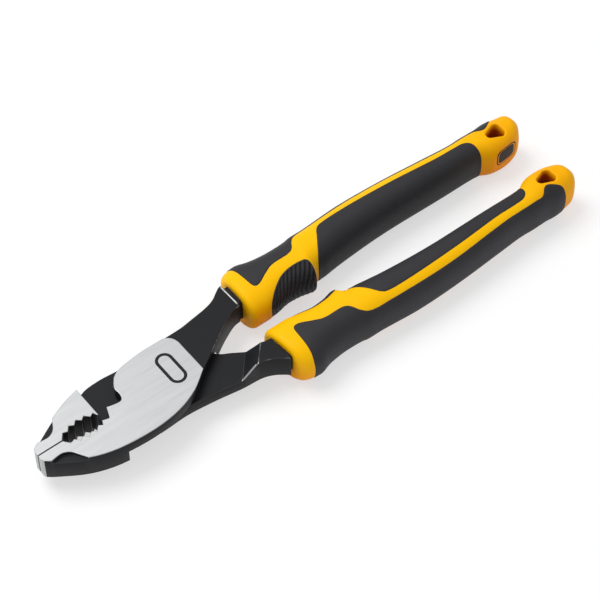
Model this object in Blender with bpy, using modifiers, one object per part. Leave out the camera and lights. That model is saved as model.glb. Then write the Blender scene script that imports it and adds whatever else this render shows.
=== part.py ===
"""Slip joint pliers with a lap jointed head, a blind pivot pin and two-tone moulded grips.

The tool lies flat: nose toward -X, grips toward +X, +Z up, z = 0 under the grips.
Plane outlines are drawn from the nose tip: x runs back along the tool and y across it.
Lever A has the near jaw and the far grip, lever B the far jaw and the near grip.
"""
import math

import bmesh
import bpy
import numpy as np
from mathutils import Matrix, Vector

MM = 0.001

# ---------------------------------------------------------------- driving sizes
OUTLINE_UNIT = 1.0 * MM        # unit in which the outlines below are drawn
GRIP_START = 87.3 * MM         # nose tip to the grips' collars
GRIP_LENGTH = 127.2 * MM
CLEARANCE = 0.3 * MM           # between neighbouring pieces
HEAD_THICKNESS = 9.4 * MM
GRIP_DROP = 1.6 * MM           # the grips' middle lies this far under the head's
GRIP_HEIGHT = 18.0 * MM

PIVOT_X = 46.8 * MM            # pivot, from the nose tip
PIVOT_Y = 2.1 * MM
SLIP_TRAVEL = 5.5 * MM         # distance between the two pivot positions
SLIP_ANGLE = math.radians(126.9)   # direction of lever B's slip, from +X toward +Y

PIN_RADIUS = 3.5 * MM
PIN_FLATS = 5.8 * MM           # across the flats of the shoulder in lever B
PIN_HEAD_RADIUS = 5.2 * MM
PIN_HEAD_THICKNESS = 1.5 * MM
PIN_STUB = 1.3 * MM            # above the head, in lever A's blind bore
THREAD_RADIUS = 3.0 * MM
RECESS_DEPTH = 2.0 * MM        # in lever B's underside, for washer and nut
WASHER_RADIUS = 5.2 * MM
WASHER_THICKNESS = 0.8 * MM
NUT_ACROSS_FLATS = 9.0 * MM
NUT_THICKNESS = 1.9 * MM

MOUTH_START = 9.35 * MM        # end of the flat gripping faces at the nose
TOOTH_PITCH = 3.0 * MM
TOOTH_COUNT = 5
TOOTH_HEIGHT = 1.3 * MM
ROOT_SHARE = 0.58              # of a pitch, from a tooth's start to its root
TIP_SHARE = 0.55               # of a pitch, from a root to the next tip
LAST_TIP_LAND = 0.4 * MM       # from the last tip to the back of lever B's jaw face
PIPE_GRIP_RADIUS = 13.5 * MM
PIPE_GRIP_DEPTH = 4.0 * MM
JAW_A_BACK = 25.2 * MM         # back of lever A's full-thickness jaw
JAW_B_BACK = 24.2 * MM         # back of lever B's ground jaw face
SCALLOP_DEPTH = 1.5 * MM
PAD_STEP = 0.4 * MM            # the ground face stands this far above the shank
LAP_RADIUS = 27.2 * MM         # front of lever A's full-thickness shank
RAMP_RUN = 4.9 * MM            # length of the slope up to the full thickness
SHOULDER_X = 86.6 * MM         # back of both shanks
TANG_LENGTH = 102.5 * MM       # behind the shoulder, inside the grip
TANG_ROOT = 0.8 * MM           # the tang starts this far inside the shank
TANG_THICKNESS = 6.0 * MM
TANG_WIDTH_FRONT = 8.0 * MM
TANG_WIDTH_BACK = 4.4 * MM

PAD_THICKNESS = 2.0 * MM
RIB_PITCH = 1.7 * MM
RIB_DEPTH = 0.5 * MM
RIB_FIRST = 10.5 * MM          # behind the grip's front
RIB_LAST = 27.0 * MM
HOLE_FROM_END = 12.0 * MM      # middle of the hanging hole to the grip's end
HOLE_Y = 13.5 * MM
HOLE_LENGTH = 6.6 * MM
HOLE_WIDTH = 6.4 * MM          # of its rear side
HOLE_CORNER = 1.8 * MM
INSET_LENGTH = 9.6 * MM        # oval inset in the far grip's end
INSET_WIDTH = 7.4 * MM
INSET_DEPTH = 1.0 * MM
INSET_RAISE = 1.2 * MM         # above the grip's middle
RING_SPACING = 15.0 * MM       # widest gap between the stations of a grip's loft
SECTION_POWER = 2.4            # 2 is an ellipse, more is squarer

# Grip stations: distance behind the grip's front, inner side, outer side, and the share of
# the full height there.
GRIP_STATIONS = [
    (0.0, 4.0, 22.8, 0.90), (2.2, 3.3, 24.3, 0.94), (7.7, 3.3, 24.9, 0.95),
    (12.7, 4.3, 23.4, 0.96), (18.7, 5.4, 22.4, 0.97), (23.7, 5.0, 22.3, 0.98),
    (28.0, 4.0, 22.6, 0.99), (29.8, 5.9, 22.8, 1.00), (35.7, 7.3, 22.9, 1.00),
    (52.7, 9.1, 23.8, 1.00), (70.7, 9.8, 23.2, 0.99), (88.7, 9.7, 21.8, 0.97),
    (100.7, 9.8, 21.0, 0.95), (106.2, 9.3, 21.2, 0.96), (110.7, 7.1, 21.1, 0.99),
    (115.7, 6.5, 21.9, 1.00), (120.7, 7.5, 20.9, 0.98), (123.9, 9.4, 19.9, 0.92),
    (126.0, 11.9, 17.9, 0.64), (127.2, 13.2, 16.1, 0.42),
]

# ---------------------------------------------------------------- outlines
# Levers are drawn from the nose tip and pads from the front of their grip.
# "s" points are passed smoothly and "c" points are corners.
SHOULDER = SHOULDER_X / OUTLINE_UNIT
JAW_A_OUTLINE = [
    (26.1, -2.0, "c"), (26.4, -1.7, "c"), (27.9, 2.1, "c"), (30.8, 1.4, "s"),
    (33.2, 1.4, "s"), (34.2, 3.5, "s"), (34.1, 6.4, "s"), (35.3, 8.7, "s"),
    (37.2, 10.8, "s"), (40.5, 12.2, "s"), (49.1, 13.3, "s"), (57.3, 13.3, "s"),
    (65.4, 13.4, "s"), (70.5, 14.1, "s"), (77.0, 15.1, "s"), (80.7, 16.3, "s"),
    (83.1, 17.8, "s"), (85.2, 19.2, "s"), (SHOULDER, 19.6, "c"), (SHOULDER, 8.8, "c"),
    (84.2, 8.5, "s"), (81.5, 7.4, "s"), (77.0, 5.0, "s"), (72.4, 2.1, "s"),
    (66.0, -2.1, "s"), (61.6, -4.9, "s"), (54.4, -10.0, "s"), (45.9, -13.3, "s"),
    (35.2, -14.6, "s"), (22.2, -13.6, "s"), (12.3, -10.5, "s"), (3.4, -5.1, "s"),
    (0.5, -2.9, "c"), (0.0, -2.0, "c"),
]
JAW_B_OUTLINE = [
    (25.8, 1.1, "s"), (27.3, -2.3, "s"), (29.9, -7.3, "s"), (36.8, -11.5, "s"),
    (49.8, -11.3, "s"), (61.0, -12.4, "s"), (70.6, -13.9, "s"), (76.4, -14.3, "s"),
    (79.6, -14.9, "s"), (82.5, -16.2, "s"), (85.0, -18.0, "s"), (SHOULDER, -19.4, "c"),
    (SHOULDER, -8.6, "c"), (83.1, -8.0, "s"), (78.8, -5.2, "s"), (74.2, -2.2, "s"),
    (70.6, 0.2, "s"), (63.0, 8.6, "s"), (52.5, 13.6, "s"), (40.3, 14.9, "s"),
    (34.2, 15.4, "s"), (28.5, 15.1, "s"), (24.6, 13.9, "s"), (18.7, 12.3, "s"),
    (12.1, 9.5, "s"), (2.4, 4.2, "s"), (0.5, 2.9, "c"), (0.0, 2.0, "c"),
]
SCALLOP_OUTLINE = [
    (0.6, 4.7, "c"), (3.8, 4.1, "s"), (6.3, 3.9, "s"), (8.1, 4.5, "s"), (9.5, 5.7, "s"),
    (10.9, 8.0, "s"), (12.4, 10.4, "c"), (12.4, 20.0, "c"), (-6.0, 20.0, "c"),
    (-6.0, 6.0, "c"),
]
GROUND_FACE_BACK = [
    (61.6, -30.0, "c"), (61.6, 8.8, "c"), (61.2, 10.6, "s"), (60.3, 12.0, "s"),
    (58.9, 13.0, "s"), (56.2, 14.2, "c"), (56.2, 30.0, "c"), (100.0, 30.0, "c"),
    (100.0, -30.0, "c"),
]
OUTER_PAD_OUTLINE = [
    (4.6, 32.0, "c"), (4.6, 24.4, "s"), (5.5, 20.7, "s"), (5.9, 16.0, "s"),
    (6.6, 11.2, "s"), (9.0, 10.5, "s"), (13.3, 12.6, "s"), (17.6, 14.2, "s"),
    (25.4, 14.7, "s"), (29.0, 18.8, "s"), (32.2, 20.5, "s"), (40.6, 21.0, "s"),
    (50.6, 21.4, "s"), (61.0, 21.4, "s"), (72.0, 20.9, "s"), (83.4, 19.9, "s"),
    (95.0, 19.0, "s"), (106.0, 18.9, "s"), (109.8, 18.7, "s"), (111.6, 17.0, "s"),
    (113.4, 16.4, "s"), (116.0, 17.7, "s"), (118.4, 19.6, "s"), (119.1, 23.0, "s"),
    (119.1, 32.0, "c"),
]
INNER_PAD_OUTLINE = [
    (30.4, -3.0, "c"), (30.5, 5.5, "s"), (33.4, 10.0, "s"), (36.0, 13.8, "s"),
    (38.6, 17.4, "s"), (41.6, 18.6, "s"), (50.0, 18.9, "s"), (62.0, 18.6, "s"),
    (75.0, 17.9, "s"), (90.0, 16.7, "s"), (99.0, 16.5, "s"), (103.0, 16.2, "s"),
    (105.3, 14.5, "s"), (106.3, 11.0, "s"), (106.3, -3.0, "c"),
]
THUMB_PAD_OUTLINE = [
    (8.0, -3.0, "c"), (8.3, 3.1, "s"), (10.9, 5.5, "s"), (14.3, 7.8, "s"),
    (17.6, 9.4, "s"), (21.7, 10.1, "s"), (25.7, 9.9, "s"), (27.8, 9.2, "s"),
    (28.6, 7.4, "s"), (28.6, -3.0, "c"),
]
RAMP_FOOT = ((70.6, -13.9), (78.8, -4.9))    # where lever B's shank starts to rise
BADGE_FACE = ((111.4, 7.2), (123.2, 8.6))   # two points of the flat on a grip's end

# ---------------------------------------------------------------- dependent sizes
HALF_HEAD = HEAD_THICKNESS / 2
HALF_GRIP = GRIP_HEIGHT / 2
HALF_GAP = CLEARANCE / 2
HEAD_Z = HALF_GRIP + GRIP_DROP
LENGTH = GRIP_START + GRIP_LENGTH
TANG_END = SHOULDER_X + TANG_LENGTH
HOLE_X = LENGTH - HOLE_FROM_END
GRIP_UNIT = GRIP_LENGTH / GRIP_STATIONS[-1][0]   # stretch of the grip's tables along x
PIVOT = Vector((PIVOT_X - LENGTH / 2, PIVOT_Y, HEAD_Z))
SLIP = Vector((math.cos(SLIP_ANGLE), math.sin(SLIP_ANGLE), 0)) * SLIP_TRAVEL
FAR_OUT = 15 * MM                            # how far cutters run past the solids


def clear_scene():
    for obj in list(bpy.data.objects):
        bpy.data.objects.remove(obj, do_unlink=True)


def make_collection(name):
    collection = bpy.data.collections.new(name)
    bpy.context.scene.collection.children.link(collection)
    return collection


def make_material(name, colour, roughness, metallic):
    material = bpy.data.materials.new(name)
    material.use_nodes = True
    shader = material.node_tree.nodes["Principled BSDF"]
    shader.inputs["Base Color"].default_value = (*colour, 1.0)
    shader.inputs["Roughness"].default_value = roughness
    shader.inputs["Metallic"].default_value = metallic
    material.diffuse_color = (*colour, 1.0)
    return material


# ---------------------------------------------------------------- plane outlines
def grip_x(distance):
    """Distance from the nose tip of a place in the grip's tables."""
    return GRIP_START + distance * GRIP_UNIT


def on_grip(point):
    return Vector((grip_x(point[0]), point[1] * OUTLINE_UNIT))


def on_lever(point):
    return Vector((point[0], point[1])) * OUTLINE_UNIT


def smooth_outline(points, place=on_lever, steps=4):
    """Closed outline in metres: Catmull-Rom curves pass the smooth points."""
    count = len(points)
    xy = [place(p) for p in points]
    outline = []
    for i in range(count):
        j = (i + 1) % count
        start, end = xy[i], xy[j]
        outline.append(start)
        if points[i][2] == "c" and points[j][2] == "c":
            continue
        before = xy[i - 1] if points[i][2] == "s" else start
        after = xy[(j + 1) % count] if points[j][2] == "s" else end
        slope_a = (end - before) / 2
        slope_b = (after - start) / 2
        for k in range(1, steps):
            t = k / steps
            outline.append((2 * t**3 - 3 * t**2 + 1) * start + (t**3 - 2 * t**2 + t) * slope_a
                           + (3 * t**2 - 2 * t**3) * end + (t**3 - t**2) * slope_b)
    return outline


def signed_area(outline):
    area = 0.0
    for i, point in enumerate(outline):
        previous = outline[i - 1]
        area += previous.x * point.y - point.x * previous.y
    return area / 2


def offset_outline(outline, distance):
    """Moves each side of a closed outline outward and mitres the corners."""
    outward = 1.0 if signed_area(outline) > 0 else -1.0
    moved = []
    for i, point in enumerate(outline):
        before = (point - outline[i - 1]).normalized()
        after = (outline[(i + 1) % len(outline)] - point).normalized()
        normal = (Vector((before.y, -before.x)) + Vector((after.y, -after.x))).normalized()
        stretch = max(0.5, normal.dot(Vector((after.y, -after.x))))
        moved.append(point + normal * (outward * distance / stretch))
    return moved


def mirror_outline(outline, side):
    return [Vector((p.x, p.y * side)) for p in outline]


def arc(centre, radius, start, end, count):
    """Points on an arc, angles in degrees from +X toward +Y."""
    angles = [math.radians(start + (end - start) * i / (count - 1)) for i in range(count)]
    return [Vector((centre[0] + radius * math.cos(a), centre[1] + radius * math.sin(a)))
            for a in angles]


def slot_outline(a, b, radius, count=11):
    """Round-ended slot around the line from a to b."""
    heading = math.degrees(math.atan2(b[1] - a[1], b[0] - a[0]))
    return (arc(b, radius, heading - 90, heading + 90, count)
            + arc(a, radius, heading + 90, heading + 270, count))


def hole_outline():
    """Triangle with round corners, widest toward the end of the grip."""
    front = HOLE_X - HOLE_LENGTH / 2 + HOLE_CORNER
    back = HOLE_X + HOLE_LENGTH / 2 - HOLE_CORNER
    reach = HOLE_WIDTH / 2 - HOLE_CORNER
    lean = math.degrees(math.atan2(reach, back - front))
    return (arc((front, HOLE_Y), HOLE_CORNER, 90 + lean, 270 - lean, 7)
            + arc((back, HOLE_Y - reach), HOLE_CORNER, -90 - lean, 0, 5)
            + arc((back, HOLE_Y + reach), HOLE_CORNER, 0, 90 + lean, 5))


def teeth(side):
    """Pipe grip: teeth whose roots and tips lie on two arcs."""
    last_tip = JAW_B_BACK - LAST_TIP_LAND
    roots = [MOUTH_START + TOOTH_PITCH * (k + ROOT_SHARE) for k in range(TOOTH_COUNT)]
    tips = [x + TOOTH_PITCH * TIP_SHARE for x in roots[:-1]] + [last_tip]
    middle = (MOUTH_START + roots[-1] + TOOTH_PITCH) / 2
    points = [Vector((MOUTH_START, side * HALF_GAP))]
    for root_x, tip_x in zip(roots, tips):
        root_y = PIPE_GRIP_DEPTH - (root_x - middle) ** 2 / (2 * PIPE_GRIP_RADIUS)
        tip_y = PIPE_GRIP_DEPTH - TOOTH_HEIGHT - (tip_x - middle) ** 2 / (2 * PIPE_GRIP_RADIUS)
        points.append(Vector((root_x, side * root_y)))
        points.append(Vector((tip_x, side * tip_y)))
    return points


# ---------------------------------------------------------------- solids
def local_point(x, y, z):
    """A point given from the nose tip and the head's middle, as seen from the pivot."""
    return Vector((x - PIVOT_X, y - PIVOT_Y, z))


def mesh_object(name, mesh, collection):
    obj = bpy.data.objects.new(name, mesh)
    collection.objects.link(obj)
    return obj


def prism(name, outline, bottom, top, collection):
    """Extrudes a plane outline between two heights over the head's middle."""
    mesh = bpy.data.meshes.new(name)
    shape = bmesh.new()
    rim = [shape.verts.new(local_point(p.x, p.y, bottom)) for p in outline]
    plate = shape.faces.new(rim)
    raised = bmesh.ops.extrude_face_region(shape, geom=[plate])["geom"]
    bmesh.ops.translate(shape, vec=(0, 0, top - bottom),
                        verts=[v for v in raised if isinstance(v, bmesh.types.BMVert)])
    shape.to_mesh(mesh)
    shape.free()
    weld(mesh)
    return mesh_object(name, mesh, collection)


def weld(mesh):
    shape = bmesh.new()
    shape.from_mesh(mesh)
    bmesh.ops.remove_doubles(shape, verts=shape.verts, dist=0.001 * MM)
    bmesh.ops.recalc_face_normals(shape, faces=shape.faces)
    shape.to_mesh(mesh)
    shape.free()


def cylinder(name, x, y, radius, bottom, top, collection, sides=40):
    mesh = bpy.data.meshes.new(name)
    shape = bmesh.new()
    place = Matrix.Translation(local_point(x, y, (bottom + top) / 2))
    bmesh.ops.create_cone(shape, cap_ends=True, segments=sides, radius1=radius,
                          radius2=radius, depth=top - bottom, matrix=place)
    shape.to_mesh(mesh)
    shape.free()
    return mesh_object(name, mesh, collection)


def block(name, size, matrix, collection):
    mesh = bpy.data.meshes.new(name)
    shape = bmesh.new()
    bmesh.ops.create_cube(shape, size=1.0, matrix=matrix @ Matrix.Diagonal((*size, 1.0)))
    shape.to_mesh(mesh)
    shape.free()
    return mesh_object(name, mesh, collection)


def boolean(obj, tool, operation):
    modifier = obj.modifiers.new(operation.title(), "BOOLEAN")
    modifier.object = tool
    modifier.operation = operation
    modifier.solver = "EXACT"
    tool.hide_render = True
    tool.display_type = "WIRE"


def cut(obj, *tools):
    for tool in tools:
        boolean(obj, tool, "DIFFERENCE")


def finish(obj, material, parent):
    obj.data.materials.clear()
    obj.data.materials.append(material)
    obj.data.shade_smooth()
    obj.data.set_sharp_from_angle(angle=math.radians(35))
    obj.parent = parent


# ---------------------------------------------------------------- levers
def jaw_outline(side, back):
    nose = [Vector((0.0, side * HALF_GAP))]
    outline = smooth_outline([(0.0, 0.0, "c")] + back)[1:]
    return nose + teeth(side) + outline


def tang_width(x):
    share = (x - SHOULDER_X) / (TANG_END - SHOULDER_X)
    return TANG_WIDTH_FRONT + (TANG_WIDTH_BACK - TANG_WIDTH_FRONT) * share


def tang_outline(side, start, clearance):
    """The tang follows the middle of its grip and tapers to the back."""
    bends = np.linspace(GRIP_START, TANG_END, 9)
    inner, outer, _ = grip_profile(bends)
    stations = np.concatenate([[start], bends, [TANG_END + clearance]])
    middle = np.interp(stations, bends, (inner + outer) / 2)
    half = np.array([tang_width(x) for x in stations]) / 2 + clearance
    rim = [(x, m - h) for x, m, h in zip(stations, middle, half)]
    rim += [(x, m + h) for x, m, h in zip(stations[::-1], middle[::-1], half[::-1])]
    return [Vector((x, y * side)) for x, y in rim]


def make_tang(name, side, collection):
    middle = -GRIP_DROP
    return prism(name, tang_outline(side, SHOULDER_X - TANG_ROOT, 0.0),
                 middle - TANG_THICKNESS / 2, middle + TANG_THICKNESS / 2, collection)


def make_scallop(name, side, cutters):
    outline = mirror_outline(smooth_outline(SCALLOP_OUTLINE), side)
    return prism(name, outline, HALF_HEAD - SCALLOP_DEPTH, HALF_HEAD + FAR_OUT, cutters)


def make_lever_a(parts, cutters):
    lever = prism("lever_a", jaw_outline(-1, JAW_A_OUTLINE), -HALF_HEAD, HALF_HEAD, parts)
    middle = (PIVOT_X + SLIP.x / 2, PIVOT_Y + SLIP.y / 2)
    lap = [Vector((JAW_A_BACK, -40 * MM)), Vector((JAW_A_BACK, 40 * MM))]
    lap += arc(middle, LAP_RADIUS, 85, -85, 41)
    cut(lever,
        prism("cut_a_lap", lap, -HALF_HEAD - FAR_OUT, HALF_GAP, cutters),
        prism("cut_a_ground_face", smooth_outline(GROUND_FACE_BACK),
              HALF_HEAD - PAD_STEP, HALF_HEAD + FAR_OUT, cutters),
        make_scallop("cut_a_scallop", -1, cutters),
        cylinder("cut_a_bore", PIVOT_X, PIVOT_Y, PIN_RADIUS + CLEARANCE, -FAR_OUT,
                 HALF_GAP + 2 * CLEARANCE + PIN_HEAD_THICKNESS + PIN_STUB, cutters),
        cylinder("cut_a_head_seat", PIVOT_X, PIVOT_Y, PIN_HEAD_RADIUS + CLEARANCE, -FAR_OUT,
                 HALF_GAP + CLEARANCE * 1.5 + PIN_HEAD_THICKNESS, cutters))
    boolean(lever, make_tang("join_a_tang", 1, cutters), "UNION")
    return lever


def make_ramp_cutter(cutters):
    """Clears lever B's upper half from the jaw's back to a slope in the shank."""
    start, end = (on_lever(p) for p in RAMP_FOOT)
    along = (end - start).normalized()
    back = Vector((along.y, -along.x)) * RAMP_RUN
    low, high = -HALF_GAP, HALF_HEAD + FAR_OUT
    corners = []
    for level in (low, high):
        shift = back * (level - low) / (HALF_HEAD - low)
        rim = [Vector((JAW_B_BACK, -50 * MM)), start + shift - along * 40 * MM,
               end + shift + along * 40 * MM, Vector((JAW_B_BACK, 50 * MM))]
        corners += [local_point(p.x, p.y, level) for p in rim]
    faces = [(3, 2, 1, 0), (4, 5, 6, 7), (0, 1, 5, 4), (1, 2, 6, 5), (2, 3, 7, 6), (3, 0, 4, 7)]
    mesh = bpy.data.meshes.new("cut_b_lap")
    mesh.from_pydata([tuple(c) for c in corners], [], faces)
    weld(mesh)
    return mesh_object("cut_b_lap", mesh, cutters)


def make_lever_b(parts, cutters):
    lever = prism("lever_b", jaw_outline(1, JAW_B_OUTLINE), -HALF_HEAD, HALF_HEAD, parts)
    here = (PIVOT_X, PIVOT_Y)
    slipped = (PIVOT_X - SLIP.x, PIVOT_Y - SLIP.y)
    slot = slot_outline(here, slipped, PIN_RADIUS + CLEARANCE)
    recess = slot_outline(here, slipped, max(WASHER_RADIUS, NUT_ACROSS_FLATS / 1.73) + CLEARANCE)
    cut(lever,
        make_ramp_cutter(cutters),
        make_scallop("cut_b_scallop", 1, cutters),
        prism("cut_b_slot", slot, -FAR_OUT, FAR_OUT, cutters),
        prism("cut_b_recess", recess, -FAR_OUT, -HALF_HEAD + RECESS_DEPTH, cutters))
    boolean(lever, make_tang("join_b_tang", -1, cutters), "UNION")
    return lever


# ---------------------------------------------------------------- pivot
def make_pivot(parts, cutters):
    head_bottom = HALF_GAP + CLEARANCE / 2
    head_top = head_bottom + PIN_HEAD_THICKNESS
    floor = -HALF_HEAD + RECESS_DEPTH
    washer_top = floor - CLEARANCE
    nut_top = washer_top - WASHER_THICKNESS - CLEARANCE
    nut_bottom = nut_top - NUT_THICKNESS
    profile = [(0, head_top + PIN_STUB), (PIN_RADIUS, head_top + PIN_STUB),
               (PIN_RADIUS, head_top), (PIN_HEAD_RADIUS, head_top),
               (PIN_HEAD_RADIUS, head_bottom), (PIN_RADIUS, head_bottom),
               (PIN_RADIUS, floor), (THREAD_RADIUS, floor), (THREAD_RADIUS, nut_bottom),
               (0, nut_bottom)]
    pin = turned("pivot_pin", profile, parts)
    for side in (-1, 1):
        place = (Matrix.Rotation(SLIP_ANGLE, 4, "Z")
                 @ Matrix.Translation((0, side * (PIN_FLATS / 2 + PIN_RADIUS), floor / 2)))
        size = (4 * PIN_RADIUS, 2 * PIN_RADIUS, -floor + HALF_GAP)
        cut(pin, block("cut_pin_flat_%d" % (side + 1), size, place, cutters))
    washer = turned("pivot_washer", [
        (THREAD_RADIUS + CLEARANCE, washer_top), (WASHER_RADIUS, washer_top),
        (WASHER_RADIUS, washer_top - WASHER_THICKNESS),
        (THREAD_RADIUS + CLEARANCE, washer_top - WASHER_THICKNESS)], parts, closed=True)
    nut = cylinder("pivot_nut", PIVOT_X, PIVOT_Y, NUT_ACROSS_FLATS / math.sqrt(3),
                   nut_bottom, nut_top, parts, sides=6)
    cut(nut, cylinder("cut_nut_bore", PIVOT_X, PIVOT_Y, THREAD_RADIUS + CLEARANCE,
                      nut_bottom - CLEARANCE, nut_top + CLEARANCE, cutters, sides=32))
    return pin, washer, nut


def turned(name, profile, collection, closed=False):
    """Turns a profile of (radius, height) points about the pivot axis."""
    mesh = bpy.data.meshes.new(name)
    count = len(profile)
    edges = [(i, i + 1) for i in range(count - 1)] + ([(count - 1, 0)] if closed else [])
    mesh.from_pydata([(r, 0, z) for r, z in profile], edges, [])
    obj = mesh_object(name, mesh, collection)
    screw = obj.modifiers.new("Turn", "SCREW")
    screw.steps = screw.render_steps = 32
    screw.use_merge_vertices = True
    screw.merge_threshold = 0.001 * MM
    return obj


# ---------------------------------------------------------------- grips
def grip_profile(x):
    """Inner side, outer side and half height of a grip at distances x from the nose tip."""
    rows = np.array(GRIP_STATIONS)
    knots = grip_x(rows[:, 0])
    values = rows[:, 1:] * np.array([OUTLINE_UNIT, OUTLINE_UNIT, HALF_GRIP])
    steps = np.diff(knots)
    slopes = np.diff(values, axis=0) / steps[:, None]
    tangents = np.vstack([slopes[:1], (slopes[1:] + slopes[:-1]) / 2, slopes[-1:]])
    turning = slopes[1:] * slopes[:-1] <= 0
    tangents[1:-1][turning] = 0.0
    i = np.clip(np.searchsorted(knots, x) - 1, 0, len(knots) - 2)
    t = (np.clip(x, knots[0], knots[-1]) - knots[i]) / steps[i]
    t = t[:, None]
    span = steps[i][:, None]
    result = ((2 * t**3 - 3 * t**2 + 1) * values[i] + (t**3 - 2 * t**2 + t) * span * tangents[i]
              + (3 * t**2 - 2 * t**3) * values[i + 1] + (t**3 - t**2) * span * tangents[i + 1])
    return result[:, 0], result[:, 1], result[:, 2]


def grip_solid(name, side, inset, stations, collection, ribs=False, sides=20):
    """Loft of superellipse sections, drawn in by an inset from the grip's outside."""
    x = np.array(stations)
    inner, outer, height = grip_profile(x)
    if ribs:
        behind = x - GRIP_START
        in_ribs = (behind > RIB_FIRST) & (behind < RIB_LAST)
        wave = np.round((behind - RIB_FIRST) / (RIB_PITCH / 2)).astype(int) % 2
        inner = inner + np.where(in_ribs & (wave == 1), RIB_DEPTH, 0.0)
    middle = (inner + outer) / 2
    half_width = (outer - inner) / 2 - inset
    half_height = height - inset
    angle = np.linspace(0, 2 * math.pi, sides, endpoint=False)
    across = np.sign(np.cos(angle)) * np.abs(np.cos(angle)) ** (2 / SECTION_POWER)
    upward = np.sign(np.sin(angle)) * np.abs(np.sin(angle)) ** (2 / SECTION_POWER)
    y = middle[:, None] + half_width[:, None] * across
    z = half_height[:, None] * upward - GRIP_DROP
    xx = np.broadcast_to(x[:, None], y.shape)
    points = np.stack([xx - PIVOT_X, y * side - PIVOT_Y, z], axis=-1).reshape(-1, 3)
    rings = len(x)
    faces = []
    for i in range(rings - 1):
        for j in range(sides):
            k = (j + 1) % sides
            faces.append((i * sides + j, i * sides + k, (i + 1) * sides + k, (i + 1) * sides + j))
    faces.append(tuple(range(sides)))
    faces.append(tuple((rings - 1) * sides + j for j in range(sides)))
    mesh = bpy.data.meshes.new(name)
    mesh.from_pydata([tuple(p) for p in points], [], faces)
    weld(mesh)
    return mesh_object(name, mesh, collection)


def grip_rings():
    """The tabled stations, and some between them where they lie far apart."""
    rows = [grip_x(row[0]) for row in GRIP_STATIONS]
    rings = [rows[0]]
    for x in rows[1:]:
        gap = x - rings[-1]
        if gap > RING_SPACING:
            rings.append(rings[-1] + gap / 2)
        rings.append(x)
    return rings


def thumb_rings():
    """Stations half a rib apart, and the step behind the thumb pad."""
    count = int(2 * (RIB_LAST - RIB_FIRST) / RIB_PITCH)
    ribs = [GRIP_START + RIB_FIRST + k * RIB_PITCH / 2 for k in range(-1, count + 2)]
    ends = [grip_x(row[0]) for row in GRIP_STATIONS[1:3] + GRIP_STATIONS[6:9]]
    return sorted(ends + [x for x in ribs if x < ends[2]])


def badge_frame(side):
    """Matrix whose +Z points out of the flat on a grip's end, at its middle."""
    a, b = (on_grip(p) for p in BADGE_FACE)
    along = (b - a).normalized()
    out = Vector((along.y, -along.x))
    centre = a.lerp(b, 0.44)
    x_axis = Vector((along.x, along.y * side, 0))
    z_axis = Vector((out.x, out.y * side, 0))
    y_axis = z_axis.cross(x_axis)
    place = Matrix((x_axis, y_axis, z_axis)).transposed().to_4x4()
    place.translation = local_point(centre.x, centre.y * side, -GRIP_DROP + INSET_RAISE)
    return place


def oval(name, length, width, bottom, top, place, collection):
    mesh = bpy.data.meshes.new(name)
    shape = bmesh.new()
    bmesh.ops.create_cone(shape, cap_ends=True, segments=36, radius1=0.5, radius2=0.5, depth=1.0)
    scale = Matrix.Diagonal((length, width, top - bottom, 1.0))
    shift = Matrix.Translation((0, 0, (top + bottom) / 2))
    bmesh.ops.transform(shape, matrix=place @ shift @ scale, verts=shape.verts)
    bmesh.ops.recalc_face_normals(shape, faces=shape.faces)
    shape.to_mesh(mesh)
    shape.free()
    return mesh_object(name, mesh, collection)


def make_grip(letter, side, parts, cutters):
    """Hard core with collar and hanging hole, and three soft pads moulded in its pockets."""
    low, high = -GRIP_HEIGHT - FAR_OUT, GRIP_HEIGHT + FAR_OUT
    rings = grip_rings()
    core = grip_solid("grip_core_" + letter, side, 0.0, rings, parts)
    inside = rings[:-2]     # the last two are too narrow to be drawn in
    floor = grip_solid("cut_floor_" + letter, side, PAD_THICKNESS + CLEARANCE, inside, cutters)
    under = grip_solid("cut_under_" + letter, side, PAD_THICKNESS, inside, cutters)
    pads = []
    for name, outline in (("outer_pad_", OUTER_PAD_OUTLINE), ("inner_pad_", INNER_PAD_OUTLINE),
                          ("thumb_pad_", THUMB_PAD_OUTLINE)):
        rim = smooth_outline(outline, on_grip, steps=3)
        pocket = prism("cut_pocket_" + name + letter, mirror_outline(rim, side), low, high, cutters)
        cut(pocket, floor)
        cut(core, pocket)
        window = prism("cut_window_" + name + letter,
                       mirror_outline(offset_outline(rim, -CLEARANCE), side), low, high, cutters)
        if name == "thumb_pad_":
            pad = grip_solid(name + letter, side, 0.0, thumb_rings(), parts, ribs=True)
        else:
            pad = grip_solid(name + letter, side, 0.0, rings, parts)
        boolean(pad, window, "INTERSECT")
        cut(pad, under)
        pads.append(pad)
    hole = mirror_outline(hole_outline(), side)
    bore = tang_outline(side, GRIP_START - FAR_OUT, CLEARANCE)
    half_bore = TANG_THICKNESS / 2 + CLEARANCE
    place = badge_frame(side)
    size = (2 * FAR_OUT, 2 * (GRIP_HEIGHT + FAR_OUT), FAR_OUT)
    cut(core,
        prism("cut_tang_bore_" + letter, bore, -GRIP_DROP - half_bore, -GRIP_DROP + half_bore,
              cutters),
        prism("cut_hanging_hole_" + letter, hole, low, high, cutters),
        block("cut_end_flat_" + letter, size, place @ Matrix.Translation((0, 0, size[2] / 2)),
              cutters))
    return core, pads, place


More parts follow.
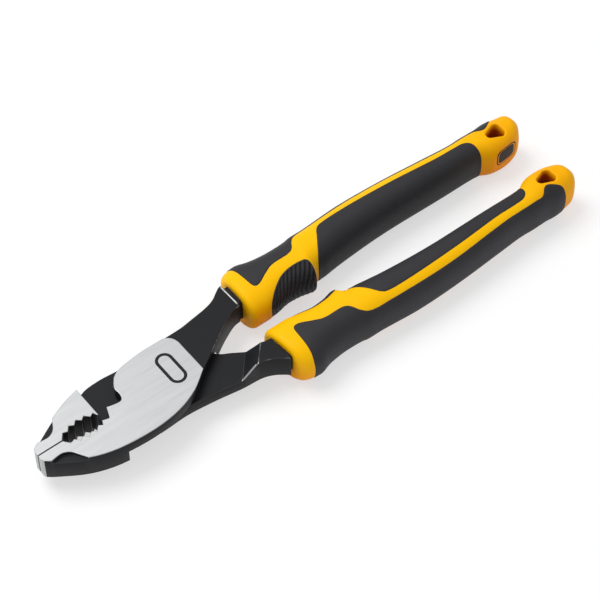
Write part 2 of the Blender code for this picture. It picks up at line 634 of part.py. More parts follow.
def main():
    clear_scene()
    parts = make_collection("slip_joint_pliers")
    cutters = make_collection("cutters")
    steel = make_material("brushed_steel", (0.60, 0.61, 0.62), 0.35, 1.0)
    black = make_material("black_oxide_steel", (0.03, 0.03, 0.033), 0.45, 0.6)
    zinc = make_material("zinc_steel", (0.45, 0.45, 0.46), 0.4, 1.0)
    yellow = make_material("yellow_moulding", (0.95, 0.52, 0.02), 0.45, 0.0)
    rubber = make_material("soft_black_moulding", (0.035, 0.035, 0.04), 0.7, 0.0)
    inlay = make_material("dark_inset", (0.06, 0.05, 0.05), 0.5, 0.0)

    axis_a = bpy.data.objects.new("lever_a_frame", None)
    axis_pin = bpy.data.objects.new("pivot_frame", None)
    axis_b = bpy.data.objects.new("lever_b_frame", None)
    for empty in (axis_a, axis_pin, axis_b):
        parts.objects.link(empty)
        empty.location = PIVOT

    finish(make_lever_a(parts, cutters), steel, axis_a)
    finish(make_lever_b(parts, cutters), black, axis_b)
    pin, washer, nut = make_pivot(parts, cutters)
    finish(pin, zinc, axis_a)
    finish(washer, zinc, axis_pin)
    finish(nut, zinc, axis_pin)
    for letter, side, axis in (("a", 1, axis_a), ("b", -1, axis_b)):
        core, pads, place = make_grip(letter, side, parts, cutters)
        finish(core, yellow, axis)
        for pad in pads:
            finish(pad, rubber, axis)
        if letter == "a":
            cut(core, oval("cut_inset_seat", INSET_LENGTH, INSET_WIDTH, -INSET_DEPTH, FAR_OUT,
                           place, cutters))
            plate = oval("end_inset", INSET_LENGTH - 2 * CLEARANCE, INSET_WIDTH - 2 * CLEARANCE,
                         CLEARANCE - INSET_DEPTH, 0.0, place, parts)
            finish(plate, inlay, axis)
    for tool in cutters.objects:
        tool.hide_render = True
        tool.display_type = "WIRE"
        tool.location = PIVOT
    bpy.context.view_layer.update()


main()
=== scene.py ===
"""Looks of the slip joint pliers: ground and blackened steel levers, two-tone moulded grips.

Laid out as an add-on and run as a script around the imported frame.
"""

import math

import bmesh
import bpy
import numpy as np
from mathutils import Matrix, Vector


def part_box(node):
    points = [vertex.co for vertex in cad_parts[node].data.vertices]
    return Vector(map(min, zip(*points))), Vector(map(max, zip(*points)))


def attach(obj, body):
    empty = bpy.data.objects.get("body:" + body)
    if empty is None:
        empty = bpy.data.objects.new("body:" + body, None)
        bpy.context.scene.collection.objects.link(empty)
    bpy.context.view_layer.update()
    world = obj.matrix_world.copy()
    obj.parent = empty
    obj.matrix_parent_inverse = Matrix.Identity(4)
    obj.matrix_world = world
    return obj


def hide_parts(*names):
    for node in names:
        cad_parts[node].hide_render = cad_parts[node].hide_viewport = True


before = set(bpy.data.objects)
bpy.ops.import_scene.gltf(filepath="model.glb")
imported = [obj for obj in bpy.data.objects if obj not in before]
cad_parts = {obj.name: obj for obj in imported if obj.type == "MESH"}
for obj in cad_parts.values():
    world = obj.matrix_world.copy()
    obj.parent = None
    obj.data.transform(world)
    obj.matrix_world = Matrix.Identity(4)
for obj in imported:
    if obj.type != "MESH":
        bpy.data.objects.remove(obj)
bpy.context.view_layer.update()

bl_info = {
    "name": "Slip joint pliers",
    "version": (1, 0, 0),
    "blender": (4, 5, 0),
    "location": "View3D > Sidebar > Pliers",
    "description": "Builds the visible surfaces and materials of slip joint pliers",
    "category": "Object",
}

MM = 0.001
BODY_A, BODY_B = "lever_a_body", "lever_b_body"
NOSE_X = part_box("lever_a")[0].x
HEAD_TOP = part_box("lever_a")[1].z
HEAD_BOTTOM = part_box("lever_a")[0].z
GROUND_BACK_A = NOSE_X + 62.2 * MM    # the ground faces end here
GROUND_BACK_B = NOSE_X + 24.6 * MM
NOSE_GROUND = 0.45 * MM               # depth of the ground finish on the nose's front
EDGE_DROP = 0.16 * MM                 # the ground finish reaches this far down the rounds
WORN_DROP = 0.6 * MM                  # and the oxide is worn off this far down
MARK_CENTRE = (53.4, 1.8)             # plain ring on the ground face, millimetres
MARK_HALF_LENGTH = 3.7
MARK_RADIUS = 2.6
MARK_LINE = 1.1


# ---------------------------------------------------------------- properties
def colour_property(name, description, default):
    return bpy.props.FloatVectorProperty(
        name=name, description=description, subtype="COLOR", size=3, min=0.0, max=1.0,
        default=default)


def length_property(name, description, default):
    return bpy.props.FloatProperty(
        name=name, description=description, subtype="DISTANCE", unit="LENGTH", min=0.0,
        default=default)


class PliersColours(bpy.types.PropertyGroup):
    """Colours of the pliers' finishes."""
    ground_steel: colour_property("Ground steel", "Brushed faces of the head", (0.50, 0.505, 0.51))
    black_steel: colour_property("Black steel", "Oxide finish of levers", (0.011, 0.0115, 0.0135))
    zinc: colour_property("Zinc", "Pin, washer and nut", (0.50, 0.50, 0.52))
    yellow: colour_property("Yellow", "Hard moulding of the grips", (0.95, 0.51, 0.0))
    # painted shade: this amber stands in for shade low on the hard moulding, and also tints its
    # end
    amber_low_shade: colour_property("Amber", "Deeper tone low on the hard moulding", (0.90, 0.33, 0.0))
    # painted shade: this deep red stands in for shade inside the hanging holes
    hole_shade: colour_property("Ember", "Tone inside the hanging holes", (0.42, 0.07, 0.0))
    soft_black: colour_property("Soft black", "Soft pads of the grips", (0.020, 0.020, 0.024))
    inset: colour_property("Inset", "Dark plate in the far grip's end", (0.035, 0.03, 0.03))
    floor: colour_property("Floor", "Table under the tool", (0.97, 0.97, 0.97))


class PliersSizes(bpy.types.PropertyGroup):
    """Sizes of the fine shapes that the frame leaves open."""
    edge: length_property("Edge", "Width of the rounds on the levers' edges", 0.18 * MM)
    pad_raise: length_property("Pad raise", "Soft pads above the hard moulding", 0.22 * MM)
    rib_pitch: length_property("Rib pitch", "From rib to rib on the thumb pads", 1.72 * MM)
    rib_depth: length_property("Rib depth", "Depth between the thumb pads' ribs", 0.65 * MM)


# ---------------------------------------------------------------- shader maths
class Value:
    """A shader socket that adds Math nodes when it is used in an expression."""

    def __init__(self, shader, socket):
        self.shader = shader
        self.socket = socket

    def _math(self, operation, *values, clamp=False):
        settings = {"operation": operation, "use_clamp": clamp}
        return self.shader.node("ShaderNodeMath", settings, list(values)).value()

    def __add__(self, other):
        return self._math("ADD", self, other)

    def __radd__(self, other):
        return self._math("ADD", other, self)

    def __sub__(self, other):
        return self._math("SUBTRACT", self, other)

    def __rsub__(self, other):
        return self._math("SUBTRACT", other, self)

    def __mul__(self, other):
        return self._math("MULTIPLY", self, other)

    def __rmul__(self, other):
        return self._math("MULTIPLY", other, self)

    def __gt__(self, other):
        return self._math("GREATER_THAN", self, other)

    def __lt__(self, other):
        return self._math("LESS_THAN", self, other)

    def power(self, other):
        return self._math("POWER", self, other)

    def absolute(self):
        return self._math("ABSOLUTE", self)

    def clamped(self):
        return self._math("ADD", self, 0.0, clamp=True)

    def step(self, low, high):
        """Smooth step from 0 at low to 1 at high."""
        return self.shader.node("ShaderNodeMapRange", {"interpolation_type": "SMOOTHSTEP"}, {
            "Value": self, "From Min": low, "From Max": high}).value("Result")


class Placed:
    """One node of a material, with its outputs wrapped as values."""

    def __init__(self, shader, node):
        self.shader = shader
        self.node = node

    def value(self, output=0):
        return Value(self.shader, self.node.outputs[output])


class Shader:
    """A material whose Principled shader is fed by wrapped sockets."""

    def __init__(self, name):
        self.material = bpy.data.materials.new(name)
        self.material.use_nodes = True
        self.tree = self.material.node_tree
        self.surface = self.tree.nodes["Principled BSDF"]
        place = self.node("ShaderNodeTexCoord", {}, {})
        self.place = place.value("Object")
        split = self.node("ShaderNodeSeparateXYZ", {}, {"Vector": self.place})
        self.x, self.y, self.z = (split.value(axis) for axis in "XYZ")

    def feed(self, socket, value):
        """Links a wrapped socket, or sets a plain value."""
        if isinstance(value, Value):
            self.tree.links.new(value.socket, socket)
        elif socket.type == "RGBA" and len(value) == 3:
            socket.default_value = (*value, 1.0)
        else:
            socket.default_value = value

    def node(self, kind, settings, values):
        """Adds a node with its settings, its inputs fed by a list or by a dict of names."""
        made = self.tree.nodes.new(kind)
        for key, setting in settings.items():
            setattr(made, key, setting)
        pairs = enumerate(values) if isinstance(values, list) else values.items()
        for key, value in pairs:
            self.feed(made.inputs[key], value)
        return Placed(self, made)

    def noise(self, scale, detail=3.0, roughness=0.5, stretch=(1, 1, 1)):
        """Noise in object space; stretch multiplies the coordinates before the lookup."""
        place = self.node("ShaderNodeVectorMath", {"operation": "MULTIPLY"},
                          [self.place, stretch]).value("Vector")
        return self.node("ShaderNodeTexNoise", {}, {
            "Vector": place, "Scale": scale, "Detail": detail,
            "Roughness": roughness}).value("Fac")

    def mix(self, factor, a, b):
        """Colour mix: a where the factor is 0, b where it is 1."""
        made = self.tree.nodes.new("ShaderNodeMix")
        made.data_type = "RGBA"
        self.feed(made.inputs["Factor"], factor)
        self.feed([s for s in made.inputs if s.name == "A" and s.type == "RGBA"][0], a)
        self.feed([s for s in made.inputs if s.name == "B" and s.type == "RGBA"][0], b)
        return Value(self, [s for s in made.outputs if s.type == "RGBA"][0])

    def set(self, **values):
        """Feeds the Principled shader's inputs."""
        names = {"colour": "Base Color", "roughness": "Roughness", "metallic": "Metallic",
                 "specular": "Specular IOR Level"}
        for key, value in values.items():
            self.feed(self.surface.inputs[names[key]], value)

    def glow(self, share):
        """Mixes in plain white for rays from the camera, also by way of a glossy surface."""
        path = self.node("ShaderNodeLightPath", {}, {})
        seen = (path.value("Is Camera Ray") + path.value("Is Glossy Ray")
                + path.value("Is Transmission Ray")).clamped()
        white = self.node("ShaderNodeEmission", {}, {"Color": (1, 1, 1), "Strength": 1.0})
        both = self.tree.nodes.new("ShaderNodeMixShader")
        self.feed(both.inputs[0], seen * share)
        self.tree.links.new(self.surface.outputs[0], both.inputs[1])
        self.tree.links.new(white.node.outputs[0], both.inputs[2])
        self.tree.links.new(both.outputs[0], self.tree.nodes["Material Output"].inputs["Surface"])

    def bump(self, height, strength, distance):
        """Feeds the Principled shader's normal."""
        made = self.node("ShaderNodeBump", {}, {
            "Height": height, "Strength": strength, "Distance": distance})
        self.tree.links.new(made.node.outputs["Normal"], self.surface.inputs["Normal"])


# ---------------------------------------------------------------- finishes
def colours():
    return bpy.context.scene.pliers_colours


def sizes():
    return bpy.context.scene.pliers_sizes


def toned(colour, factor=1.0):
    """A colour as a tuple, each channel times a factor."""
    return tuple(factor * channel for channel in colour)


def black_steel(shader):
    """Colour, roughness and grain of the oxide finish, with faint rubbed streaks."""
    grain = shader.noise(900.0)
    rubbed = shader.noise(70.0, 5.0, 0.65, (0.5, 1.6, 1.0)).step(0.60, 0.78)
    base = colours().black_steel
    return (shader.mix(rubbed * 0.5, toned(base), toned(base, 3.2)),
            0.40 + grain * 0.14 - rubbed * 0.06, grain)


def ground_steel(shader):
    """Colour, roughness and grain of the ground faces: streaks along the tool in pale steel."""
    broad = shader.noise(150.0, 4.0, 0.6, (0.35, 5.0, 1.0))
    fine = shader.noise(800.0, 3.0, 0.6, (0.12, 5.0, 1.0))
    grain = (broad * 0.5 + fine * 0.5).step(0.25, 0.75)
    base = colours().ground_steel
    return (shader.mix(grain, toned(base, 0.90), toned(base, 1.06)), 0.36 + fine * 0.2, fine)


def plain_mark(shader):
    """Plain etched ring with round ends: points near a set distance from a straight line."""
    u = shader.y - MARK_CENTRE[1] * MM
    v = shader.x - (NOSE_X + MARK_CENTRE[0] * MM)
    past = u.absolute() - MARK_HALF_LENGTH * MM
    past = (past + past.absolute()) * 0.5
    distance = (past * past + v * v).power(0.5)
    return (distance - MARK_RADIUS * MM).absolute() < MARK_LINE / 2 * MM


def lever_finish(name, ground_back, marked):
    """Ground on the flat top face in front of ground_back, black on everything else."""
    shader = Shader(name)
    dark, dark_rough, dark_grain = black_steel(shader)
    pale, pale_rough, pale_grain = ground_steel(shader)
    top = (shader.z > HEAD_TOP - EDGE_DROP) * (shader.x < ground_back)
    if marked:
        top = top * (1 - plain_mark(shader))
    steel = (top + (shader.x < NOSE_X + NOSE_GROUND)).clamped()
    shader.set(colour=shader.mix(steel, dark, pale), metallic=steel * 0.45,
               roughness=dark_rough + steel * (pale_rough - dark_rough), specular=0.16)
    shader.bump(dark_grain + steel * (pale_grain - dark_grain), 0.25, 0.04 * MM)
    return shader.material


def edge_finish(name, ground_back, highlight_box):
    """Edges of the levers: ground at the ground faces, bare steel painted bright as a highlight
    inside a box of millimetres (low x, high x, low y, high y, low z), elsewhere oxide worn off in
    patches."""
    shader = Shader(name)
    dark, rough, _ = black_steel(shader)
    patches = shader.noise(190.0, 4.0, 0.6).step(0.45, 0.62)
    head = (shader.z > HEAD_TOP - EDGE_DROP) * (shader.x < ground_back)
    low_x, high_x, low_y, high_y, low_z = highlight_box
    # painted highlight: bare steel in this box stands in for the bright edge line
    line = ((shader.x > NOSE_X + low_x * MM) * (shader.x < NOSE_X + high_x * MM)
            * (shader.y > low_y * MM) * (shader.y < high_y * MM) * (shader.z > low_z * MM))
    worn_and_highlight = (patches * (shader.z > HEAD_TOP - WORN_DROP) * 0.45 + head + line).clamped()
    shader.set(colour=shader.mix(worn_and_highlight, dark, toned(colours().ground_steel, 0.8)),
               metallic=worn_and_highlight * 0.7, roughness=rough - 0.08, specular=0.4)
    return shader.material


def zinc_finish():
    """Cloudy plain zinc of the pivot's parts."""
    shader = Shader("zinc_steel")
    grain = shader.noise(1200.0)
    cloud = shader.noise(160.0)
    base = colours().zinc
    shader.set(colour=shader.mix(cloud, toned(base, 0.8), toned(base)), metallic=1.0,
               roughness=0.3 + grain * 0.15)
    shader.bump(grain, 0.2, 0.02 * MM)
    return shader.material


def yellow_finish():
    """Hard moulding: painted shade makes it more orange low down and deep red in the hanging
    holes; it is also more orange toward the end.
    """
    shader = Shader("yellow_moulding")
    cloud = shader.noise(60.0)
    grain = shader.noise(2500.0)
    yellow, amber_low_shade, hole_shade = colours().yellow, colours().amber_low_shade, colours().hole_shade
    # painted shade: the moulding turns amber low down, where shade falls
    height = shader.z.step(*(level * MM for level in LOW_SHADE))
    toward_end = shader.x.step(*(NOSE_X + place * MM for place in END_TONE)) * 0.45
    high = shader.mix(cloud, toned(yellow, 0.97), toned(yellow))
    moulding = shader.mix(height * (1 - toward_end), toned(amber_low_shade), high)
    # painted shade: deep red inside the hanging holes, where shade falls
    along = shader.x - (NOSE_X + (GRIP_FRONT + HOLE_CENTRES[:, 0].mean()) * MM)
    aside = shader.y.absolute() - HOLE_CENTRES[:, 1].mean() * MM
    depth = HOLE_SHADE_HALF * MM - (shader.z - GRIP_MIDDLE * MM).absolute()
    inside = (along * along + aside * aside).power(0.5) < HOLE_SHADE_RADIUS * MM
    shader.set(colour=shader.mix(inside * depth.step(0.0, 3.0 * MM), moulding, toned(hole_shade)),
               roughness=0.42 + grain * 0.12, specular=0.1)
    shader.bump(grain, 0.12, 0.02 * MM)
    return shader.material


def soft_black_finish():
    """Matt moulding with a fine leather-like texture and a slight sheen."""
    shader = Shader("soft_black")
    grain = shader.noise(1500.0, 4.0, 0.65)
    cloud = shader.noise(90.0)
    base = colours().soft_black
    shader.set(colour=shader.mix(cloud, toned(base, 0.8), toned(base, 1.3)),
               roughness=0.5 + grain * 0.2, specular=0.32)
    shader.bump(grain, 0.8, 0.12 * MM)
    return shader.material


def inset_finish():
    """Dark satin of the end plate."""
    shader = Shader("dark_inset")
    grain = shader.noise(1500.0)
    cloud = shader.noise(300.0)
    base = colours().inset
    shader.set(colour=shader.mix(cloud, toned(base, 0.7), toned(base, 1.3)),
               roughness=0.5 + grain * 0.12, specular=0.15)
    shader.bump(grain, 0.15, 0.02 * MM)
    return shader.material


def dress(node, material):
    """Gives a node of the frame its finish."""
    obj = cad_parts[node]
    obj.data.materials.clear()
    obj.data.materials.append(material)


# ---------------------------------------------------------------- grip shape, millimetres
GRIP_FRONT = 87.3             # behind the nose tip
GRIP_MIDDLE = 9.0             # above the frame's ground
GRIP_HALF = 9.0
SECTION_POWER = 2.4
RIB_LEAN = -0.45              # a rib moves back this share of its height on the side
UNROLL = 9.3                  # mm of surface per radian of a section, for distances on it
PAD_ROUND = 0.8               # radius of a soft pad's rim
PAD_SINK = 0.12               # the rim starts this far under the hard surface
PAD_CROWN = 0.12              # a pad's middle stands this much above its edge
PAD_POCKET = 0.7              # the hard core is sunk this deep under a pad
COLLAR_ROUND = 1.5            # round of the front face's edge
COLLAR_SPAN = (4.0, 23.0)     # its inner and outer side, across the tool
BODY_END, END_BULGE = 126.0, 1.2      # where the end's dome starts, and how far it stands out
CORE_LOOPS, CORE_STEPS = 360, 144     # loops along the core's body, and points round a loop
FRONT_SHIFT = {1: (1.1, 1.2), -1: (-0.9, 1.0)}    # of the front there, far and near grip
HOLE_ROUND = 0.9              # round of the hanging hole's rim
HOLE_STEPS = 72               # points round the hanging hole
HOLE_OVERLAP = 0.12           # the lining reaches this far into the core
HOLE_CUT_HALF = 15.0          # the cutter reaches this far up and down
HOLE_SHADE_RADIUS, HOLE_SHADE_HALF = 4.0, 8.0   # size of the painted shade, deep red, in the hole
LOW_SHADE = (2.0, 16.5)        # painted shade: the moulding is orange at the first height, yellow at the second
END_TONE = (186.0, 204.0)     # and turns orange between these distances behind the nose
# distance behind the grip's front, inner side, outer side, share of the half height
STATIONS = np.array([
    (0.0, 4.0, 22.8, 0.90), (2.2, 3.3, 24.3, 0.94), (7.7, 3.3, 24.9, 0.95),
    (12.7, 4.3, 23.4, 0.96), (18.7, 5.4, 22.4, 0.97), (23.7, 5.0, 22.3, 0.98),
    (28.0, 4.0, 22.6, 0.99), (29.8, 5.9, 22.8, 1.00), (35.7, 7.3, 22.9, 1.00),
    (52.7, 9.1, 23.8, 1.00), (70.7, 9.8, 23.2, 0.99), (88.7, 9.7, 21.8, 0.97),
    (100.7, 9.8, 21.0, 0.95), (106.2, 9.3, 21.2, 0.96), (110.7, 7.1, 21.1, 0.99),
    (115.7, 6.5, 21.5, 1.00), (120.7, 7.5, 20.9, 0.98), (123.9, 9.4, 19.9, 0.92),
    (126.0, 11.9, 17.9, 0.64), (127.2, 13.2, 16.1, 0.42)])
# the pads' rims in plan: distance behind the grip's front, and from the tool's middle plane
RIM_POINTS = 150
OUTER_RIM = [
    (4.6, 24.4), (5.5, 20.7), (5.9, 16.0), (6.6, 11.2), (9.0, 10.5), (13.3, 12.6),
    (17.6, 14.2), (25.4, 14.7), (29.0, 18.8), (32.2, 20.5), (40.6, 21.0), (50.6, 21.4),
    (61.0, 21.4), (72.0, 20.9), (83.4, 19.9), (95.0, 19.0), (106.0, 18.9), (109.8, 18.7),
    (111.6, 17.0), (113.4, 16.4), (116.0, 17.7), (118.4, 19.6), (119.1, 23.0)]
INNER_RIM = [
    (30.4, 3.0), (30.5, 5.5), (33.4, 10.0), (36.0, 13.8), (38.6, 17.4), (41.6, 18.6),
    (50.0, 18.9), (62.0, 18.6), (75.0, 17.9), (90.0, 16.7), (99.0, 16.5), (103.0, 16.2),
    (105.3, 14.5), (106.3, 11.0), (106.4, 9.0)]
THUMB_RIM = [
    (8.0, 1.5), (8.3, 3.1), (10.9, 5.5), (14.3, 7.8), (17.6, 9.4), (21.7, 10.1),
    (25.7, 9.9), (27.8, 9.2), (28.6, 7.4), (28.7, 3.5)]
END_FACE = ((111.4, 7.2), (123.2, 8.6))   # ends of the flat face at the grip's end, in plan
END_BLEND = 2.5
END_SOFTNESS = 0.3
HOLE_CENTRES = np.array([(113.4, 13.5), (117.0, 12.1), (117.0, 14.9)])
HOLE_RADIUS = 1.5             # of the corners whose centres these are


def smooth_step(value, low, high):
    """3 s^2 - 2 s^3 of the clipped share s of the way from low to high."""
    share = np.clip((value - low) / (high - low), 0.0, 1.0)
    return share * share * (3 - 2 * share)


def bent(wave, power):
    """A sine or cosine w bent toward a rounded rectangle: sign(w) |w|^(2/power)."""
    return np.sign(wave) * np.abs(wave) ** (2 / power)


def grip_profile(distance):
    """Inner side, outer side and half height of a grip at distances behind its front.

    A cubic runs between neighbouring stations; its slope at a station is the mean of the
    slopes on both sides, and zero where they differ in sign."""
    knots, values = STATIONS[:, 0], STATIONS[:, 1:] * (1.0, 1.0, GRIP_HALF)
    spans = np.diff(knots)
    slopes = np.diff(values, axis=0) / spans[:, None]
    tangents = np.vstack([slopes[:1], (slopes[1:] + slopes[:-1]) / 2, slopes[-1:]])
    tangents[1:-1][slopes[1:] * slopes[:-1] <= 0] = 0.0
    i = np.clip(np.searchsorted(knots, distance) - 1, 0, len(spans) - 1)
    span = spans[i][..., None]
    t = (np.clip(distance, knots[0], knots[-1]) - knots[i])[..., None] / span
    curve = ((2 * t**3 - 3 * t**2 + 1) * values[i] + (t**3 - 2 * t**2 + t) * span * tangents[i]
             + (3 * t**2 - 2 * t**3) * values[i + 1] + (t**3 - t**2) * span * tangents[i + 1])
    return curve[..., 0], curve[..., 1], curve[..., 2]


def front_shift(side, y):
    """How far a collar's front lies behind its place: evenly, or growing toward the outside."""
    low, high = FRONT_SHIFT[side]
    start, stop = COLLAR_SPAN
    return low + (high - low) * np.clip((y - start) / (stop - start), 0.0, 1.0)


def section_point(distance, angle, shrink):
    """Superellipse section: across a |cos|^(2/p), up h |sin|^(2/p), flattened at the end face."""
    inner, outer, height = grip_profile(distance)
    across, upward = bent(np.cos(angle), SECTION_POWER), bent(np.sin(angle), SECTION_POWER)
    y = (inner + outer) / 2 + (outer - inner) / 2 * shrink * across
    (x0, y0), (x1, y1) = END_FACE
    over = y0 + (y1 - y0) / (x1 - x0) * (distance - x0) - y
    window = (smooth_step(distance, x0 - END_BLEND, x0 + 1.0)
              * (1 - smooth_step(distance, x1, x1 + END_BLEND)))
    past = (over + np.sqrt(over**2 + END_SOFTNESS**2)) / 2
    y = y + window * np.where(shrink > 0.9, past, 0.0)
    return np.stack(np.broadcast_arrays(distance, y, upward * height * shrink), -1)


def grip_surface(side, distance, angle, raised=0.0, shrink=1.0):
    """Points of a grip's surface, moved out along its normal by raised millimetres.

    The distance runs along the tool and the angle round the section, from the outer side over
    the top; the normal is the cross product of the surface's two slopes."""
    distance, angle, raised, shrink = np.broadcast_arrays(distance, angle, raised, shrink)
    point = section_point(distance, angle, shrink)
    along = (section_point(distance + 0.1, angle, shrink)
             - section_point(distance - 0.1, angle, shrink))
    around = section_point(distance, angle + 0.01, shrink) - section_point(
        distance, angle - 0.01, shrink)
    normal = np.cross(around, along)
    normal /= np.maximum(np.linalg.norm(normal, axis=-1, keepdims=True), 1e-9)
    point = point + normal * raised[..., None]
    back = front_shift(side, point[..., 1]) * (1 - smooth_step(distance, 0.0, 9.0))
    point = point * (1.0, side, 1.0) + (GRIP_FRONT, 0.0, GRIP_MIDDLE)
    point[..., 0] += back
    return point


def smooth_line(points, steps=10):
    """Catmull-Rom curve through the points, as an array."""
    p = np.array(points, float)
    p = np.vstack([2 * p[0] - p[1], p, 2 * p[-1] - p[-2]])
    t = np.linspace(0, 1, steps, endpoint=False)[:, None, None]
    a, b, c, d = p[:-3], p[1:-2], p[2:-1], p[3:]
    curve = 0.5 * (2 * b + (c - a) * t + (2 * a - 5 * b + 4 * c - d) * t**2
                   + (3 * b - a - 3 * c + d) * t**3)
    return np.vstack([curve.transpose(1, 0, 2).reshape(-1, 2), p[-2:-1]])


def half_rim(rim, inward, reach):
    """A pad's rim as (distance, surface mm from the pad's middle line), evenly spaced.

    The plan view gives |y|; the superellipse turns that into an angle from the outer side, or
    from the inner side for the pads that face inward; reach narrows the pad."""
    line = smooth_line(rim)
    inner, outer, _ = grip_profile(line[:, 0])
    share = (line[:, 1] - (inner + outer) / 2) / ((outer - inner) / 2)
    share = np.clip(-share if inward else share, -1, 1)
    spread = np.arccos(np.sign(share) * np.abs(share) ** (SECTION_POWER / 2)) * UNROLL * reach
    used = np.flatnonzero(spread > 0)
    line = np.stack([line[:, 0], spread], -1)[used[0]:used[-1] + 1]
    line = np.vstack([(line[0, 0], 0.0), line, (line[-1, 0], 0.0)])
    line = line[np.append(True, np.linalg.norm(np.diff(line, axis=0), axis=1) > 1e-6)]
    run = np.append(0.0, np.cumsum(np.linalg.norm(np.diff(line, axis=0), axis=1)))
    even = np.linspace(0, run[-1], RIM_POINTS)
    return np.stack([np.interp(even, run, line[:, 0]), np.interp(even, run, line[:, 1])], -1)


def whole_rim(rim, inward, top, bottom):
    """Closed rim: the upper half from front to back, then the lower half to the front."""
    upper, lower = half_rim(rim, inward, top), half_rim(rim, inward, bottom)
    return np.vstack([upper, (lower * (1, -1))[-2:0:-1]])


def rim_distance(points, loop):
    """Distance of surface points (distance, mm from the pad's middle line) inside a closed rim,
    negative outside: the nearest of the rim's straight pieces, signed by crossings."""
    a, b = loop, np.roll(loop, -1, axis=0)
    flat = points.reshape(-1, 1, 2)
    step = b - a
    share = ((flat - a) * step).sum(-1) / np.maximum((step**2).sum(-1), 1e-12)
    near = a + np.clip(share, 0, 1)[..., None] * step - flat
    distance = np.sqrt((near**2).sum(-1)).min(1)
    spans = (a[:, 1] > flat[..., 1]) != (b[:, 1] > flat[..., 1])
    cross = a[:, 0] + (flat[..., 1] - a[:, 1]) * step[:, 0] / np.where(
        step[:, 1] == 0, 1e-12, step[:, 1])
    inside = (spans & (flat[..., 0] < cross)).sum(1) % 2 == 1
    return np.where(inside, distance, -distance).reshape(points.shape[:-1])


# how far a thumb pad wraps over the top and over the underside of grips a and b
THUMB_REACH = {"a": (1.0, 0.68), "b": (0.68, 1.0)}


def pad_rims(letter):
    """Rims of a grip's three pads, and whether each faces inward."""
    top, bottom = THUMB_REACH[letter]
    return {"outer_pad_": (whole_rim(OUTER_RIM, False, 1, 1), False),
            "inner_pad_": (whole_rim(INNER_RIM, True, 1, 1), True),
            "thumb_pad_": (whole_rim(THUMB_RIM, True, top, bottom), True)}


def loop_mesh(name, points):
    """Mesh of closed loops of points, given in millimetres behind the nose tip: quads between
    neighbouring loops, doubles merged, normals outward."""
    rows, columns = points.shape[:2]
    row, column = np.mgrid[0:rows - 1, 0:columns]
    after = (column + 1) % columns
    faces = np.stack([row * columns + column, row * columns + after,
                      (row + 1) * columns + after, (row + 1) * columns + column], -1)
    mesh = bpy.data.meshes.new(name)
    mesh.from_pydata((points * MM + (NOSE_X, 0, 0)).reshape(-1, 3), [], faces.reshape(-1, 4))
    shape = bmesh.new()
    shape.from_mesh(mesh)
    bmesh.ops.remove_doubles(shape, verts=shape.verts, dist=0.0005 * MM)
    bmesh.ops.recalc_face_normals(shape, faces=shape.faces)
    shape.to_mesh(mesh)
    shape.free()
    return mesh


def add_piece(name, mesh, materials, body, replaced, sharp=40):
    """Links a mesh as a piece; sharp is None where the mesh has its own sharp edges."""
    if sharp is not None:
        mesh.shade_smooth()
        mesh.set_sharp_from_angle(angle=math.radians(sharp))
    for material in materials:
        mesh.materials.append(material)
    piece = bpy.data.objects.new(name, mesh)
    bpy.context.scene.collection.objects.link(piece)
    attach(piece, body)
    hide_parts(*replaced)


def pad_mesh(name, side, rim, inward, ribs):
    """Soft pad: loops that shrink from the rim to a slit on the pad's middle line.

    The loops lie at fixed distances from the rim and then at even shares of the way; the
    height follows a quarter circle at the rim and a low crown inside; the underside is the
    same slit, sunk into the hard core."""
    upper = rim[:len(rim) // 2 + 1]
    run = np.abs(np.diff(upper[:, 0])) + 0.12 * np.linalg.norm(np.diff(upper, axis=0), axis=1)
    run = np.append(0.0, np.cumsum(run))
    margin = 0.3 * np.abs(upper[:, 1]).max()
    slit = upper[0, 0] + margin + (upper[-1, 0] - upper[0, 0] - 2 * margin) * run / run[-1]
    middle = np.stack([np.append(slit, slit[-2:0:-1]), np.zeros(len(rim))], -1)
    length = np.linalg.norm(rim - middle, axis=1)
    near = np.array([0.0, 0.08, 0.2, 0.36, 0.56, 0.8, 1.1])
    left = np.linspace(1, 0, 26 if ribs else 10)[1:]
    shares = np.vstack([1 - near[:, None] / length, left[:, None] * (1 - near[-1] / length)])
    grid = middle + (rim - middle) * shares[..., None]
    inside = (1 - shares) * length
    low = np.clip(1 - inside / PAD_ROUND, 0, 1)
    height = -PAD_SINK + (PAD_SINK + sizes().pad_raise / MM) * np.sqrt(1 - low**2)
    height = height + PAD_CROWN * smooth_step(inside, PAD_ROUND, 5.0)
    if ribs:
        phase = (grid[..., 0] + RIB_LEAN * np.abs(grid[..., 1])) / (sizes().rib_pitch / MM)
        groove = (0.5 + 0.5 * np.cos(2 * math.pi * phase)) ** 1.5
        height = height - groove * (sizes().rib_depth / MM) * smooth_step(inside, 0.5, 1.3)
    height[-1] = (height[-1] + np.roll(height[-1][::-1], 1)) / 2
    under = 1 - np.array([0.5, 1.2])[:, None] / length
    under = np.vstack([under, np.zeros((1, len(rim)))])
    below = middle + (rim - middle) * under[..., None]
    depth = np.broadcast_to(np.array([-0.6, -0.9, -0.9])[:, None], below.shape[:-1])
    grid = np.vstack([below[::-1], grid])
    height = np.vstack([depth[::-1], height])
    angle = grid[..., 1] / UNROLL
    angle = math.pi - angle if inward else angle
    return loop_mesh(name, grip_surface(side, grid[..., 0], angle, height))


